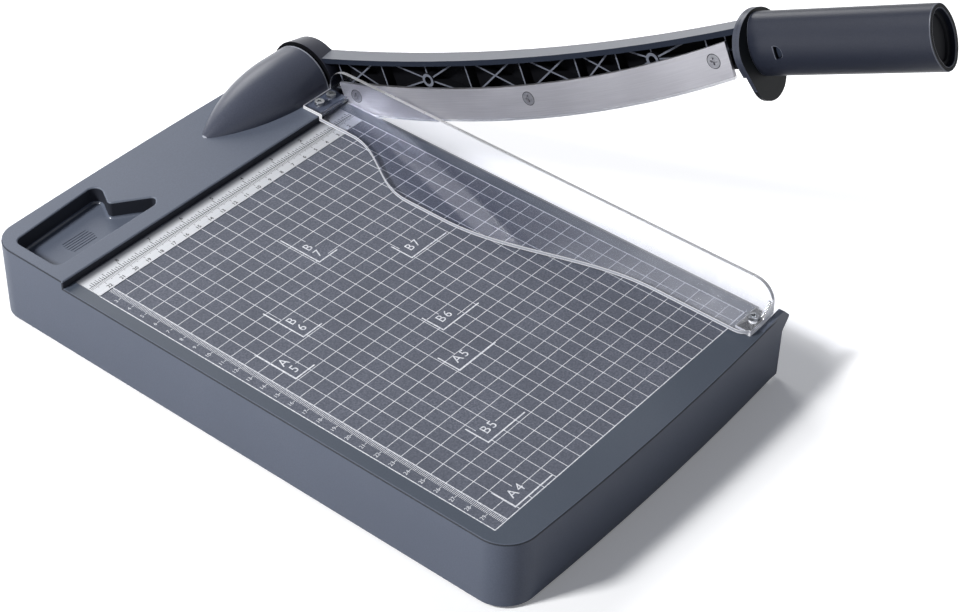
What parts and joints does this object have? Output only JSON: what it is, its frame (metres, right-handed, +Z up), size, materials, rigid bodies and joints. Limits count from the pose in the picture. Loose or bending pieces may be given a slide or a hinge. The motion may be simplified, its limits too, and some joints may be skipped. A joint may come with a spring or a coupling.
{
  "type": "paper trimmer",
  "caption": "Guillotine paper trimmer: flat bed with fence, ruler and storage tray, clear safety guard, and a hinged arm with curved blade, hand guard and oval grip.",
  "frame": {"origin": "middle of the whole trimmer's box with the arm raised as stored, on the desk under the feet", "axes": "+Z up, +Y from the handle's end towards the pivot, +X towards the side with the blade"},
  "size_m": [0.2624, 0.4521, 0.2715],
  "materials": {
    "base_plastic": "fine-grained slate grey ABS moulding",
    "cover_plastic": "plain dark grey moulding",
    "arm_plastic": "satin slate grey ABS moulding",
    "handle_plastic": "satin black-grey moulding",
    "guard_clear": "polished clear acrylic",
    "blade_steel": "lengthwise ground steel",
    "ruler_metal": "brushed and printed aluminium strip",
    "plate_steel": "zinc-plated steel",
    "screw_steel": "zinc-plated steel",
    "bush_brass": "turned brass",
    "foot_rubber": "moulded black rubber"
  },
  "bodies": {
    "base": {"base_shell": "base_plastic", "bottom_cover": "cover_plastic", "bottom_screws": "screw_steel", "rubber_feet": "foot_rubber", "scale_ruler": "ruler_metal", "counter_blade": "blade_steel", "counter_blade_screws": "screw_steel", "backing_plate": "plate_steel", "backing_plate_screws": "screw_steel", "pivot_bolt": "plate_steel", "pivot_washer": "plate_steel", "disc_spring": "plate_steel", "pivot_nut": "plate_steel", "pivot_cover": "base_plastic", "pivot_cover_screws": "screw_steel", "safety_guard": "guard_clear", "guard_screws": "screw_steel"},
    "arm": {"arm_beam": "arm_plastic", "pivot_bush": "bush_brass", "blade": "blade_steel", "blade_screws": "screw_steel", "hand_guard": "handle_plastic", "grip": "arm_plastic", "grip_screw": "screw_steel", "grip_end_cap": "handle_plastic"}
  },
  "joints": [
    {"name": "arm_hinge", "type": "hinge", "parent": "base", "child": "arm", "pos_m": [0.11375, 0.20116, 0.048], "axis": [-1, 0, 0], "range_deg": [-24.5, 45]}
  ]
}
